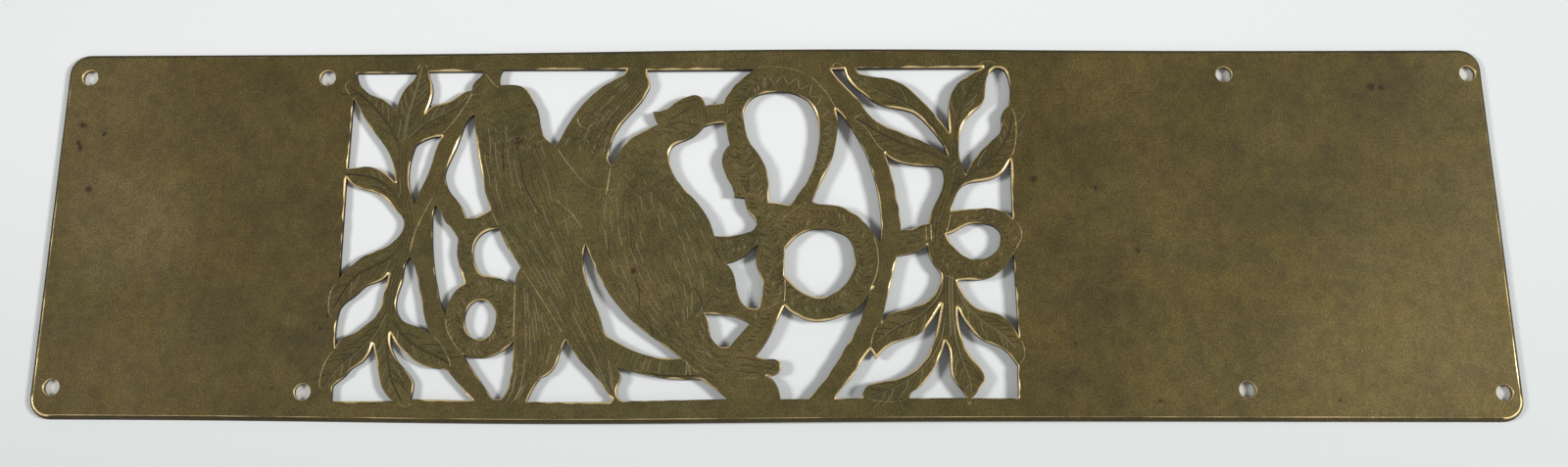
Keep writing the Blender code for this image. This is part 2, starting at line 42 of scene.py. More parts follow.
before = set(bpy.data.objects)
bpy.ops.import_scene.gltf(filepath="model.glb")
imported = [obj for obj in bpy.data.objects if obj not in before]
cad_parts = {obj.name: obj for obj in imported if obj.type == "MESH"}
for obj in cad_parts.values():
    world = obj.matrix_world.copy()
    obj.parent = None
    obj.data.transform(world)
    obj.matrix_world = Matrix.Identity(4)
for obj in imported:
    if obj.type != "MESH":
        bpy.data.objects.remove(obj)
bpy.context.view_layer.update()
low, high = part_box("brass_plate")
THICKNESS = (high.z - low.z) / MM

# The loops of the CAD plate.
CORNER_TURN = math.radians(24)  # a loop has a corner where it turns more than this
LOOP_STEP = 0.55  # between the points of an opening's edge
RIM_STEP = 1.7  # between the points of the plate's outer edge
OPENING_TREE_STEP = 0.12  # between the points that distances are measured from
RIM_TREE_STEP = 0.4
SCREW_HOLE_AREA = 25.0  # in mm2: a screw hole is smaller than this
SCREW_ROW = 44.5  # from the middle of the plate to a row of screw holes
SCREW_ROW_REACH = 4.0  # and from there to the furthest edge of a hole

# The edges.
OUTER_ROUND = 1.3  # the radius of the worn edge round the outside
OUTER_STEPS = 10
ARRIS_DROP = 0.3  # how far the cut edge of an opening is usually rounded down
ARRIS_WIDTH = 0.52  # and how wide that rounding is
MOST_DROP = 1.4  # where it is rubbed most, the two are these many times as large
MOST_WIDTH = 1.5
WALL_BAND = 0.1  # the walls are darker from this far below the rounded edge
HOLE_BREAK = 0.25  # the broken edge of a screw hole
# limits of the rub, which sets both the rounding of an edge and its painted highlight
LEAST_RUB_AND_GLINT = 0.15
MOST_RUB_AND_GLINT = 2.2
LOW_CORNER = (196, -46)  # the outer edge gets a stronger painted highlight outside and below this, on both sides
SHARP_ANGLE = math.radians(28)

# Colours, as red, green, blue and alpha.
OLIVE = (0.094, 0.0765, 0.021, 1)
BROWN = (0.104, 0.0755, 0.0215, 1)
PALE = (0.152, 0.12, 0.044, 1)
DARK = (0.062, 0.05, 0.018, 1)
SPOT = (0.04, 0.016, 0.006, 1)
# grime, also used as a painted dark reflection on the steep outer round
GRIME_AND_DARK_REFLECTION = (0.03, 0.026, 0.02, 1)
DUST = (0.25, 0.225, 0.15, 1)
# clean brass on rubbed edges, also used as a painted highlight where edges catch the lamps
RUBBED_AND_HIGHLIGHT = (0.9, 0.68, 0.34, 1)
YELLOWER = (0.97, 0.93, 0.78, 1)  # a tint over the right part
BROWNER = (1.0, 0.94, 0.9, 1)  # and one over the left part
METALLIC = 0.5
TABLE = (0.86, 0.88, 0.875, 1)
# the table's painted fall-off of light, away from a point just behind the plate
TABLE_PAINTED_FALLOFF = (0.7, 0.73, 0.72, 1)

# The hollow in the table, in metres.
BOW = 0.0015
BOW_MIDDLE = 0.03
BOW_REACH = 0.105
TABLE_REACH = 4.0

# The points of the mesh inside the front.
PANEL = (-126.0, 78.0)  # from x to x, where the sheet is pierced and engraved
PANEL_GRID = 1.5
PLAIN_GRID = 3.0
ARRIS_ROWS = (0.35, 0.8, 1.5)  # where the rows beside an opening run, in such widths

# The camera, solved from the plate's corners and screw holes. The angles are in degrees.
CAMERA_PLACE = (0.0016, -0.08785, 0.4330)
CAMERA_TURN = 5.386
CAMERA_TILT = 15.761
CAMERA_ROLL = -5.357
SENSOR = 36.0
LENS = 36.0
LENS_SHIFT = (0.0327, -0.0752)

# The lights, in metres and watts.
LAMP_AWAY = 1.25
LAMP_FORWARD = -0.05
LAMP_HEIGHT = 1.1
LAMP_SIZE = (0.36, 0.36)
LEFT_POWER = 13
RIGHT_POWER = 20.8
FILL_PLACE = (0.0, -1.3, 1.2)
FILL_SIZE = (1.6, 0.5)
FILL_POWER = 1.5
SURROUND = 0.17  # the strength of the white surround

rng = random.Random(4)


# ---------------- the CAD plate's loops
def front_loops(mesh):
    """The loops round the CAD plate's flat front, in millimetres, with metal on the left."""
    numbers = {}
    places = []
    number_of = []
    for vertex in mesh.vertices:
        key = tuple(round(c / MM * 1000) for c in vertex.co)
        number = numbers.setdefault(key, len(places))
        if number == len(places):
            places.append(vertex.co / MM)
        number_of.append(number)
    edges = set()
    for polygon in mesh.polygons:
        corners = [number_of[i] for i in polygon.vertices]
        if min(places[i].z for i in corners) > THICKNESS - 0.001:
            edges.update(zip(corners, corners[1:] + corners[:1]))
    after = {a: b for a, b in edges if (b, a) not in edges}
    loops = []
    while after:
        start = min(after)
        loop = [start]
        here = after.pop(start)
        while here != start:
            loop.append(here)
            here = after.pop(here)
        loops.append([places[i].to_2d() for i in loop])
    return sorted(loops, key=lambda loop: -abs(signed_area(loop)))


def signed_area(loop):
    """Positive for a loop that goes counterclockwise."""
    ahead = loop[1:] + loop[:1]
    return sum(p.x * q.y - q.x * p.y for p, q in zip(loop, ahead)) / 2


def turn_at(loop, i):
    """How far the loop turns at this point, in radians."""
    back = loop[i] - loop[i - 1]
    ahead = loop[(i + 1) % len(loop)] - loop[i]
    return abs(math.atan2(back.x * ahead.y - back.y * ahead.x, back.dot(ahead)))


def refined(loop, step):
    """The same loop with more points: smooth runs curve through the old points, and corners stay."""
    count = len(loop)
    corner = [turn_at(loop, i) > CORNER_TURN for i in range(count)]
    slope = []
    for i in range(count):
        back = loop[i] - loop[i - 1]
        ahead = loop[(i + 1) % count] - loop[i]
        near, far = back.length, ahead.length
        slope.append((back * (far / near) + ahead * (near / far)) / (near + far))
    fine = []
    for i in range(count):
        j = (i + 1) % count
        start, end = loop[i], loop[j]
        chord = end - start
        length = chord.length
        unit = chord / length
        leave = unit if corner[i] else slope[i]
        arrive = unit if corner[j] else slope[j]
        if corner[i] and not corner[j]:
            leave = 2 * unit - arrive
        if corner[j] and not corner[i]:
            arrive = 2 * unit - leave
        steps = max(1, round(length / step))
        for n in range(steps):
            t = n / steps
            place = (2 * t**3 - 3 * t**2 + 1) * start + (t**3 - 2 * t**2 + t) * length * leave
            place += (3 * t**2 - 2 * t**3) * end + (t**3 - t**2) * length * arrive
            fine.append(place)
    return fine


def stepped(loop, step):
    """The same loop with more points on its straight sides."""
    fine = []
    for i, start in enumerate(loop):
        end = loop[(i + 1) % len(loop)]
        steps = max(1, round((end - start).length / step))
        fine += [start.lerp(end, n / steps) for n in range(steps)]
    return fine


def left_of(along):
    """A direction turned a quarter to the left."""
    return Vector((-along.y, along.x))


def inward(loop):
    """At each point of a loop, the unit direction into the metal."""
    found = []
    for i, here in enumerate(loop):
        back = (here - loop[i - 1]).normalized()
        ahead = (loop[(i + 1) % len(loop)] - here).normalized()
        found.append(left_of(back + ahead).normalized())
    return found


# ---------------- the loops of this plate
def tree_of(points):
    """A search tree of flat points."""
    tree = KDTree(len(points))
    for n, p in enumerate(points):
        tree.insert((p.x, p.y, 0.0), n)
    tree.balance()
    return tree


def is_screw_hole(loop):
    """The screw holes are the small loops near the long edges."""
    off_the_row = abs(abs(loop[0].y) - SCREW_ROW)
    return abs(signed_area(loop)) < SCREW_HOLE_AREA and off_the_row < SCREW_ROW_REACH


def close_points(loop, step):
    """Points along a loop, close together, and the direction into the metal at each."""
    points = []
    normals = []
    for a, b in zip(loop, loop[1:] + loop[:1]):
        parts = max(1, math.ceil((b - a).length / step))
        points += [a.lerp(b, (k + 0.5) / parts) for k in range(parts)]
        normals += [left_of((b - a).normalized())] * parts
    return points, normals


outer, *others = front_loops(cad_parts["brass_plate"].data)
outer = stepped(outer, RIM_STEP)
screw_holes = [refined(loop, LOOP_STEP) for loop in others if is_screw_hole(loop)]
openings = [refined(loop, LOOP_STEP) for loop in others if not is_screw_hole(loop)]

opening_points = []
opening_normals = []
for opening in openings:
    more_points, more_normals = close_points(opening, OPENING_TREE_STEP)
    opening_points += more_points
    opening_normals += more_normals
opening_tree = tree_of(opening_points)
rims = [close_points(loop, RIM_TREE_STEP)[0] for loop in (outer, *screw_holes)]
rim_tree = tree_of([p for rim in rims for p in rim])


def to_opening(p):
    """How far a point is from the nearest opening, less than 0 inside it."""
    _, number, distance = opening_tree.find((p.x, p.y, 0.0))
    inside = (p - opening_points[number]).dot(opening_normals[number]) < 0
    return -distance if inside else distance


def to_rim(p):
    """How far a point is from the flat front's outer edge or a screw hole."""
    return rim_tree.find((p.x, p.y, 0.0))[2]


# ---------------- the engraving
GROOVE_STEP = 0.34  # between the points along one engraved line
GROOVE_HALF_WIDTH = 0.19
GROOVE_DEPTH = 0.09
FULL_DEPTH = 0.8 * GROOVE_DEPTH  # a line this deep shows all of its dirt or shine
TAPER = 0.8  # over which an engraved line rises to its ends
MARGIN = 0.36  # of metal between an engraved line and an opening
SHORTEST_RUN = 4  # points, in the shortest stretch that is engraved
CURVE_PARTS = 8  # straight parts between two given points

VEIN_LEAN = 52.0  # degrees between a leaf's midrib and the start of a vein
VEIN_BEND = 2.2  # degrees that a vein turns back at each point
VEIN_LENGTH = 6.5
VEIN_MARGIN = 0.5  # a vein stops this far from an opening
PIECE_GAP = 0.12  # the most left out at each end of a piece, as a share of it
SHORTEST_PIECE = 0.25  # as a share of a whole one
SCALE_FROM = 0.12  # where a scale begins and ends, as shares of the body's half width
SCALE_TO = 0.86
SCALE_SLANT = 0.5  # how far its end leans back, as such a share
SCALE_CURL = 0.7  # how far its middle may bend forward
# (sideways, along) of the points of a feather's end, as shares of its size
FEATHER_END = ((0.5, 0.0), (0.36, 0.42), (0.0, 0.62), (-0.36, 0.42), (-0.5, 0.0))

# What lies in a line: (dirt, shine). A dusty line has less than no dirt, a black one is full of
# it, and a bright one is rubbed like an edge, with the same painted highlight.
DUSTY = (-1.0, 0.0)
BLACK = (1.0, 0.0)
BRIGHT = (0.0, 0.68)
BLACK_SHARE = 0.6  # of the lines that are drawn without a tone

strokes = []  # (points, half width, depth, tone) of each engraved line


def curve_through(points):
    """Evenly spaced points on the smooth curve through a few."""
    points = [Vector(p) for p in points]
    ends = [2 * points[0] - points[1], *points, 2 * points[-1] - points[-2]]
    dense = []
    for i in range(1, len(ends) - 2):
        a, b, c, d = ends[i - 1 : i + 3]
        for n in range(CURVE_PARTS):
            t = n / CURVE_PARTS
            bend = (2 * a - 5 * b + 4 * c - d) * t**2 + (3 * b - a - 3 * c + d) * t**3
            dense.append(b + 0.5 * ((c - a) * t + bend))
    dense.append(points[-1])
    even = [dense[0]]
    left = GROOVE_STEP
    for a, b in zip(dense, dense[1:]):
        length = (b - a).length
        gone = 0.0
        while length - gone >= left:
            gone += left
            even.append(a.lerp(b, gone / length))
            left = GROOVE_STEP
        left -= length - gone
    return even


def ellipse(middle, reach_x, reach_y, degrees):
    """The points of an ellipse at these angles."""
    points = []
    for angle in degrees:
        turn = math.radians(angle)
        points.append((middle[0] + reach_x * math.cos(turn), middle[1] + reach_y * math.sin(turn)))
    return points


def at(line, share):
    """The point this share of the way along a line."""
    return line[round(share * (len(line) - 1))]


def jitter(reach):
    """A small random move."""
    return Vector((rng.uniform(-1, 1), rng.uniform(-1, 1))) * reach


def engrave(line, width, depth, tone=None):
    """Keeps the stretches of a line that lie on metal, clear of the openings."""
    run = []
    tone = tone or (BLACK if rng.random() < BLACK_SHARE else DUSTY)
    for p in line + [None]:
        if p is not None and to_opening(p) > MARGIN:
            run.append(p)
            continue
        if len(run) >= SHORTEST_RUN:
            strokes.append((run, width * GROOVE_HALF_WIDTH, depth * GROOVE_DEPTH, tone))
        run = []


def cut(points, width=1.0, depth=1.0, tone=None):
    """One engraved line through these points."""
    engrave(curve_through(points), width, depth, tone)


def outline(points):
    """The rubbed step where one form passes over another, with a painted highlight along it."""
    cut(points, 1.3, 1.4, BRIGHT)


def score(points):
    """A deep cut, black with dirt."""
    cut(points, 1.2, 1.4, BLACK)


def beside(line, away):
    """The same line, moved sideways."""
    moved = []
    for i, p in enumerate(line):
        along = line[min(i + 1, len(line) - 1)] - line[max(i - 1, 0)]
        moved.append(p + left_of(along).normalized() * away)
    return moved


def leaf(spine, veins, start=0.16):
    """A midrib of two lines that meet towards the tip, and veins that curve from it.

    The first veins begin at this share of the midrib.
    """
    line = curve_through(spine)
    count = len(line)
    for side in (-1, 1):
        away = [side * 0.3 * (1 - 0.75 * i / count) for i in range(count)]
        engrave([beside(line, a)[i] for i, a in enumerate(away)], 0.85, 0.9)
    for vein in range(veins):
        for side in (-1, 1):
            share = start + (0.92 - start) * (vein + 0.25 * side + 0.3) / veins
            i = min(count - 2, max(1, int(share * count)))
            heading = line[i + 1] - line[i - 1]
            angle = math.atan2(heading.y, heading.x) + side * math.radians(VEIN_LEAN)
            p = line[i]
            path = [p]
            while len(path) * GROOVE_STEP < VEIN_LENGTH and to_opening(p) > VEIN_MARGIN:
                angle -= side * math.radians(VEIN_BEND + rng.uniform(-1, 1))
                p = p + GROOVE_STEP * Vector((math.cos(angle), math.sin(angle)))
                path.append(p)
            engrave(path, 0.75, 0.8)


def fan(first, last, count, pieces=1, waver=0.25):
    """Lines spread evenly from one line to another, in one piece or broken into several."""
    a = curve_through(first)
    b = curve_through(last)
    broken = pieces > 1
    for k in range(count):
        across = (k + 0.5) / count
        phase = rng.uniform(0, 1) * broken
        for piece in range(pieces + broken):
            begin = max(0.0, (piece - phase + PIECE_GAP * rng.uniform(0.2, 1)) / pieces)
            end = min(1.0, (piece + 1 - phase - PIECE_GAP * rng.uniform(0.2, 1)) / pieces)
            if end - begin < SHORTEST_PIECE / pieces:
                continue
            points = []
            for n in range(5):
                t = begin + (end - begin) * n / 4
                points.append(at(a, t).lerp(at(b, t), across) + jitter(waver))
            cut(points, 0.8, 0.8)


def scales(spine, half_width, pitch=1.5):
    """Short bent cuts across a body, in two rows that lean towards each other."""
    line = curve_through(spine)
    every = max(1, round(pitch / GROOVE_STEP))
    for i in range(2, len(line) - 2, every):
        along = (line[i + 1] - line[i - 1]).normalized()
        across = left_of(along)
        for side in (-1, 1):
            base = line[i] + along * (0.5 * pitch if side > 0 else 0.0)
            start = base + across * side * SCALE_FROM * half_width
            end = base + across * side * SCALE_TO * half_width - along * SCALE_SLANT * half_width
            bend = start.lerp(end, 0.5) + along * SCALE_CURL * rng.uniform(0.3, 0.9)
            cut([start, bend, end], 1.05, 1.0)


def zigzag(spine, half_width, pitch):
    """One dusty line that goes to and fro across a body."""
    line = curve_through(spine)
    turns = []
    side = -1
    for i in range(1, len(line) - 1, round(pitch / GROOVE_STEP)):
        across = left_of((line[i + 1] - line[i - 1]).normalized())
        turns.append(line[i] + across * side * half_width * rng.uniform(0.8, 1.05))
        side = -side
    for a, b in zip(turns, turns[1:]):
        cut([a, a.lerp(b, 0.5), b], 1.1, 1.0, DUSTY)


def plumage(first, last, rows, columns, size):
    """Rows of small round feather ends between two lines, each with a short midrib."""
    a = curve_through(first)
    b = curve_through(last)
    for row in range(rows):
        for column in range(columns):
            along = (row + 0.5) / rows
            across = (column + 0.5 + 0.5 * (row % 2)) / columns
            if across > 1:
                continue
            p = at(a, along).lerp(at(b, along), across) + jitter(0.3)
            ahead = min(len(a) - 1, round(along * (len(a) - 1)) + 3)
            down = (a[ahead] - a[max(0, ahead - 6)]).normalized()
            side = left_of(down)
            cut([p + side * size * u + down * size * v for u, v in FEATHER_END], 0.75, 0.8)
            cut([p + down * size * 0.1, p + down * size * 0.5], 0.7, 0.7)


def hatch(lower, upper, count, lean=0.0):
    """Nearly straight cuts from one line to another."""
    a = curve_through(lower)
    b = curve_through(upper)
    for k in range(count):
        t = (k + 0.5) / count
        p = at(a, t)
        q = at(b, min(1.0, max(0.0, t + lean)))
        middle = p.lerp(q, 0.5) + Vector((rng.uniform(-0.2, 0.2), 0))
        cut([p, middle, q], 0.8, 0.8)


def engrave_left_sprig():
    """Eight leaves, their stem, and the outlines where leaves pass over each other."""
    leaf([(-104.4, 23), (-107.6, 29.5), (-112, 35), (-116.4, 39.2), (-120.4, 42)], 7)
    leaf([(-103.7, 26), (-103.3, 32), (-102.1, 37.5), (-100.9, 42.5), (-99.7, 48.4)], 8)
    leaf([(-102.6, 26.5), (-98, 31), (-92.5, 34), (-87.5, 37.6), (-82.5, 43.5)], 7)
    leaf([(-102.8, 6), (-106.6, 11.8), (-111.5, 15), (-116, 16), (-120.4, 16.3)], 7)
    leaf([(-102, -3), (-105.6, -7.6), (-111, -10.6), (-116, -14), (-121, -22.5)], 7)
    leaf([(-105.6, -23), (-108.6, -29), (-113, -33.8), (-118, -38.4), (-122, -43.8)], 8)
    leaf([(-105.1, -25), (-105, -32), (-104.2, -38), (-102.6, -43), (-99.8, -48)], 8)
    leaf([(-103.8, -25), (-100.6, -29.6), (-96, -33), (-91, -35.4), (-86.6, -37.6)], 6)
    # The stem, and the lines where leaves and the snake pass over it.
    for away in (-0.9, 0.0, 0.9):
        stem = [(-104.9, -24), (-104.6, -16), (-102.4, -8), (-101, -1)]
        stem += [(-101.6, 5), (-103.6, 13), (-104, 24)]
        engrave(beside(curve_through(stem), away), 0.8, 0.8)
    outline([(-94.6, 9.6), (-97.3, 4), (-99.2, -1), (-100.3, -6.8)])
    outline([(-119.8, -13.9), (-121.6, -17), (-122.1, -20.6), (-121.4, -24.2), (-119.7, -24)])
    outline([(-119.4, -33), (-121.6, -36.6), (-122.8, -40.4), (-122.6, -44), (-119.5, -42.6)])
    outline([(-122, -44.9), (-119.4, -42.9)])
    outline([(-120, 39.4), (-121.6, 41.6), (-121.6, 43.4), (-119.2, 44.6)])
    outline([(-103.8, -46), (-101, -48), (-98.6, -49.2), (-97.4, -47.6)])
    outline([(-99.6, 49.2), (-98.4, 48.2), (-98, 47)])
    outline([(-101.2, 47), (-100.6, 48.6), (-99.6, 49.2)])
    outline([(-84.6, 40.6), (-86.5, 37), (-89, 33), (-93, 27.8)])
    outline([(-81.8, 46.6), (-79.2, 43.4), (-77.2, 41.6)])
    outline([(-93.3, -28.9), (-90.6, -31.4), (-88.2, -35), (-86.8, -38.8)])


def engrave_eagle():
    """The bird, its two wings, its tail and the branch under it."""
    # The folded wing on the left.
    plumage([(-81.5, 36), (-81, 22)], [(-67.5, 40), (-63, 24)], 5, 5, 2.8)
    fan([(-82.2, 30), (-80.8, 20), (-79, 12), (-76.2, 3)],
        [(-71, 31), (-69.6, 21), (-67.4, 12), (-63.8, 4)], 7, 2)
    fan([(-70, 27), (-69, 20), (-66.5, 11), (-62.5, 2)],
        [(-62.6, 25), (-59.5, 19), (-56.8, 12), (-54.5, 5)], 5, 2)
    score([(-70.2, 20.4), (-68.8, 13.6), (-66.2, 8.2), (-63, 4)])
    score([(-75.4, 31), (-75.2, 24), (-75, 17)])
    # The long feathers that cross to the bottom.
    outline([(-78, 5.8), (-74.6, -0.6), (-69.6, -9.4), (-63, -19), (-56.5, -29)])
    fan([(-75.6, 1.6), (-68.6, -8), (-61.6, -18.6), (-55.4, -28.6)],
        [(-56.5, 5), (-54.4, -3), (-52, -12), (-50.4, -20)], 11, 3, waver=0.15)
    fan([(-57, -25), (-52.8, -32), (-48, -39), (-43, -46)],
        [(-50, -18), (-46.6, -26.5), (-44, -33), (-41.8, -45)], 7, 2, waver=0.15)
    hatch([(-73.6, -2), (-69, -10)], [(-71.6, -1), (-67.6, -9)], 9, 0.1)
    # The tail feathers.
    outline([(-70.3, -14.8), (-70.1, -23), (-70.1, -31)])
    fan([(-69.4, -12), (-69.2, -26), (-69.4, -38), (-70.4, -46.6)],
        [(-63.6, -19), (-60.4, -27), (-59, -33), (-61, -39.6)], 9, 3, waver=0.12)
    fan([(-70, -40), (-70.6, -45), (-72.2, -48.6)], [(-64, -41), (-65.4, -45), (-67.4, -48)], 5, 1)
    outline([(-66.8, -42.8), (-68.4, -46), (-70.6, -48.8)])
    # The raised wing on the right.
    outline([(-59.9, 23.8), (-57.4, 20.3), (-53.6, 15.6), (-50.4, 12.6), (-46, 11.7), (-42, 11.6)])
    outline([(-60, 9.2), (-57, 6.4), (-54.8, 4.4), (-51.7, 0)])
    fan([(-58.4, 24), (-54.6, 31), (-49.6, 37), (-41.2, 44.6)],
        [(-46.4, 21), (-44.6, 27), (-39.8, 34), (-35, 42)], 9, 3)
    plumage([(-57.4, 24), (-51, 35)], [(-46.6, 20), (-42, 31)], 3, 4, 3.2)
    outline([(-54.4, 33), (-53.6, 30.6), (-51.4, 29.7), (-49.4, 31.6)])
    score([(-50, 20.6), (-47.6, 27), (-45.2, 31.6), (-42.6, 35.6)])
    # The breast and body.
    outline([(-44.3, 18.6), (-44.9, 14), (-45.6, 9.6)])
    plumage([(-42.6, 24), (-45.6, 8)], [(-28.4, 25), (-25.4, 12)], 5, 5, 2.8)
    fan([(-47.4, 10), (-48.6, 0), (-46.4, -10), (-40, -21), (-29, -31)],
        [(-25, 12), (-19.4, 4), (-15.4, -6), (-13.6, -15), (-18, -24)], 15, 6, waver=0.22)
    score([(-38.7, 4), (-38.2, -2), (-37.6, -7)])
    score([(-44, -1), (-44.5, -4.6), (-43.8, -8.6)])
    score([(-36.6, -14), (-35.6, -17.6), (-35.4, -21.4)])
    score([(-33, -24.6), (-32.2, -27.6), (-31.2, -29.8)])
    score([(-20.4, -16), (-18.4, -19.6), (-17.6, -23)])
    fan([(-29, -31), (-25, -33.6), (-21, -37.6), (-15, -42)],
        [(-17.4, -25), (-16, -30), (-13, -34), (-8, -37)], 8, 3)
    # The head, turned to the left.
    for n in range(4):
        y = 34.3 - 0.95 * n
        cut([(-32.4 + 0.35 * n, y), (-30.4, y + 0.1), (-28.4, y + 0.5 - 0.2 * n)], 0.9, 1.2)
    for radius in (1.25, 0.55):
        cut(ellipse((-20.9, 31.8), radius, radius, range(0, 361, 45)), 0.8, 1.1)
    score([(-27.6, 32.2), (-24.6, 34), (-21.4, 36.6)])
    cut([(-28.6, 30.6), (-25, 31.4), (-22.6, 31.6)])
    cut([(-26.8, 36.8), (-23.4, 37.4), (-19.6, 38.4)])
    score([(-19, 36.6), (-17.4, 33.4), (-18, 30.6)])
    fan([(-34, 28.6), (-30, 26.4), (-27.6, 24.8)], [(-30.4, 30.4), (-25, 29.6), (-20.6, 27.8)], 5, 2)
    hatch([(-17, 33), (-10, 33)], [(-17, 35.8), (-10, 36.4)], 6)
    # The legs and claws.
    score([(-14.9, -1.8), (-14.9, -5), (-12.6, -8.8)])
    scales([(-14, -4), (-9, -4.6), (-4.6, -2.6), (-1.6, -2)], 2.2, 1.4)
    scales([(-11, -12), (-12.4, -18), (-13, -22)], 2.4, 1.6)
    fan([(-14, -34), (-8, -35.2), (-3, -35.8), (3, -37)],
        [(-15, -41), (-8, -40), (-2, -39.8), (3, -39.4)], 5, 2)
    outline([(-20.6, -33.6), (-17.6, -34.1), (-14.6, -36)])
    outline([(-23, -36), (-20.8, -38.4), (-18, -40.4)])
    outline([(-8, -41.4), (-4, -41.2), (0, -40.5)])
    # The branch that the bird stands on.
    hatch([(-43, -38), (-36, -39.4), (-28, -40.8), (-20, -41)],
          [(-42, -31), (-36, -34.4), (-29, -35.8), (-22, -36.4)], 15, 0.1)
    cut([(-36, -39.4), (-30, -40.3), (-24, -40.6), (-19, -40.4)], 1.2, 1.2)


def engrave_snake():
    """The snake, from its head round the bird, with the ring it runs through and its tail."""
    scales([(-9, 28), (-9.2, 33), (-7, 38.6), (-2.6, 43), (3, 44.2)], 2.7)
    back = [(-2, 43.2), (3, 44.2), (9, 43), (13.4, 39.8)]
    back += [(16.2, 35), (17.3, 29), (16.6, 22.6), (14.4, 16)]
    zigzag(back, 1.7, 2.1)
    scales([(17.4, 29), (16.6, 22.6), (14.4, 16), (11.4, 10.6), (8, 6)], 2.2, 1.9)
    neck = [(-7, 24), (-6, 18), (-4.4, 13), (-2.6, 8), (-1, 3)]
    neck += [(0.6, -2), (1.6, -8), (1.8, -14), (1, -20)]
    scales(neck, 3.1)
    scales([(0, -21), (-2, -25), (-5, -29), (-9, -33.4)], 2.6)
    score([(-5.2, 17), (-5.5, 13), (-5.9, 9.6)])
    score([(-11.9, 22.6), (-9.4, 21), (-7.4, 21.8)])
    cut(ellipse((-8.6, 18.6), 0.8, 0.8, range(0, 361, 45)), 0.8, 1.1)
    score([(-9.1, 9.6), (-7.8, 10.4), (-6.6, 9.6)])
    outline([(-3.7, 47.4), (0, 48), (5, 47.6), (10, 46.3), (14, 43.6), (17.4, 39.4), (19.6, 35.4)])
    scales(ellipse((14.6, -8.8), 12.8, 12.6, range(145, -171, -15)), 2.7)
    outline([(4.4, 3.4), (7.4, 5.6), (10, 7.4), (12.6, 8.4)])
    outline([(28.4, 1), (30, -3), (30.8, -7), (30.4, -12), (28, -17.8)])
    outline([(4.9, -12.8), (4.9, -17), (4.6, -21.2)])
    outline([(3.4, -19.8), (1, -21.6), (-1.8, -22)])
    score([(-1.4, -5.6), (-2, -9.6)])
    # Where the tail crosses the right arc, and its loop round the stem.
    outline([(44.3, 2), (44.3, -4)])
    outline([(45.7, 2), (45.7, -4)])
    fan([(36.6, -0.6), (44, -0.2)], [(36.4, -6.6), (44, -3.8)], 4, 2)
    scales(ellipse((57.6, -3.2), 10.3, 7.9, range(205, -156, -15)), 2.2, 1.7)
    outline([(68.5, 3.4), (70.3, 1), (70.8, -2), (68.5, -6.4)])
    outline([(51.4, 5.4), (50.8, 2), (49.8, -1)])
    outline([(48.2, -12.2), (50.4, -13.4), (52.6, -14.3)])
    # The loops of the tail on the left.
    scales([(-77.6, 3.4), (-81.6, 2.4), (-84.4, -1), (-84.8, -6), (-83, -11)], 2.1, 1.3)
    scales(ellipse((-79.6, -24.6), 7.3, 8.4, range(100, -261, -15)), 2.7)
    outline([(-84.4, -13.2), (-82, -12.2), (-79.4, -12.6)])
    outline([(-89.2, -23.8), (-88.6, -28), (-86, -32.4), (-84, -34.5)])


def engrave_right_sprig():
    """Eight more leaves, their stem, and the outlines of the curled tips."""
    leaf([(52, 21.6), (48.8, 27.4), (44, 33), (38, 37.6), (30, 41.6), (23.4, 46.6)], 9)
    leaf([(51.6, 19.4), (46, 22.2), (40, 24.4), (34.4, 26.8), (29, 30), (25, 32.6)], 8)
    leaf([(53, 24), (53.8, 30), (55.6, 36), (58, 41), (61, 45.2), (64.6, 48.6)], 8, start=0.25)
    leaf([(53, 12.6), (56.6, 15.8), (61, 18.8), (65.4, 22.8), (68.4, 28), (69.8, 34)], 8, start=0.25)
    leaf([(49, -14.6), (46.8, -19.6), (41.4, -24.6), (35.4, -27.4), (29.4, -31.8)], 8, start=0.25)
    leaf([(48.7, -24), (47, -31), (43, -37.4), (37.4, -41.8), (31, -45), (26.6, -46.4)], 9, start=0.3)
    leaf([(51.2, -25), (51.4, -31), (53, -36.6), (54.8, -41.6), (55.2, -46)], 7, start=0.3)
    leaf([(52.4, -16), (55, -21.6), (59, -25.6), (64, -29), (68.2, -33.4)], 8, start=0.2)
    for n in range(5):
        x = 48.7 + 0.75 * n
        cut([(x + 0.3, -12.6), (x, -18), (x, -24), (x - 0.3 + 0.15 * n, -30)], 0.9, 1.0)
    for away in (-1.0, 0.2, 1.3):
        stem = curve_through([(46.8, -4), (47.4, 2), (49.4, 8), (51.4, 13), (52.4, 19), (52.9, 25)])
        engrave(beside(stem, away), 0.8, 0.9)
    for n in range(4):
        cut([(50.6 + 0.3 * n, 9 + 1.2 * n), (54.6, 13.6 + 0.8 * n)], 0.9, 1.1)
        cut([(51.8, 16.4 + 1.4 * n), (55 - 0.2 * n, 19.4 + 1.8 * n)], 0.9, 1.1)
    outline([(24.6, 32.2), (26.6, 33.4), (29, 33.2)])
    outline([(24.6, 32.2), (28, 29.6), (31, 25), (33.2, 22.3)])
    outline([(31.3, -26), (29.2, -28.6), (28.1, -33.2)])
    outline([(68.8, 20.6), (70.2, 24.6), (70.7, 30), (70.2, 34), (68.8, 36.2)])
    outline([(59.8, 47.4), (62.4, 49.2), (65.2, 49), (65.8, 47.6)])
    outline([(18.2, 47.3), (20.2, 49), (22.2, 47.4)])
    outline([(26, -46.3), (30, -47.3), (35, -47.4), (38.5, -46.5)])
    outline([(68.8, -29.8), (70, -32.6), (69.9, -35.6), (68.3, -37.7)])
    outline([(54, -46.3), (54.6, -48.4), (55.4, -46.4)])
    outline([(10.8, -46.8), (9.6, -48.2)])
    outline([(18.4, -46.4), (17.2, -48)])


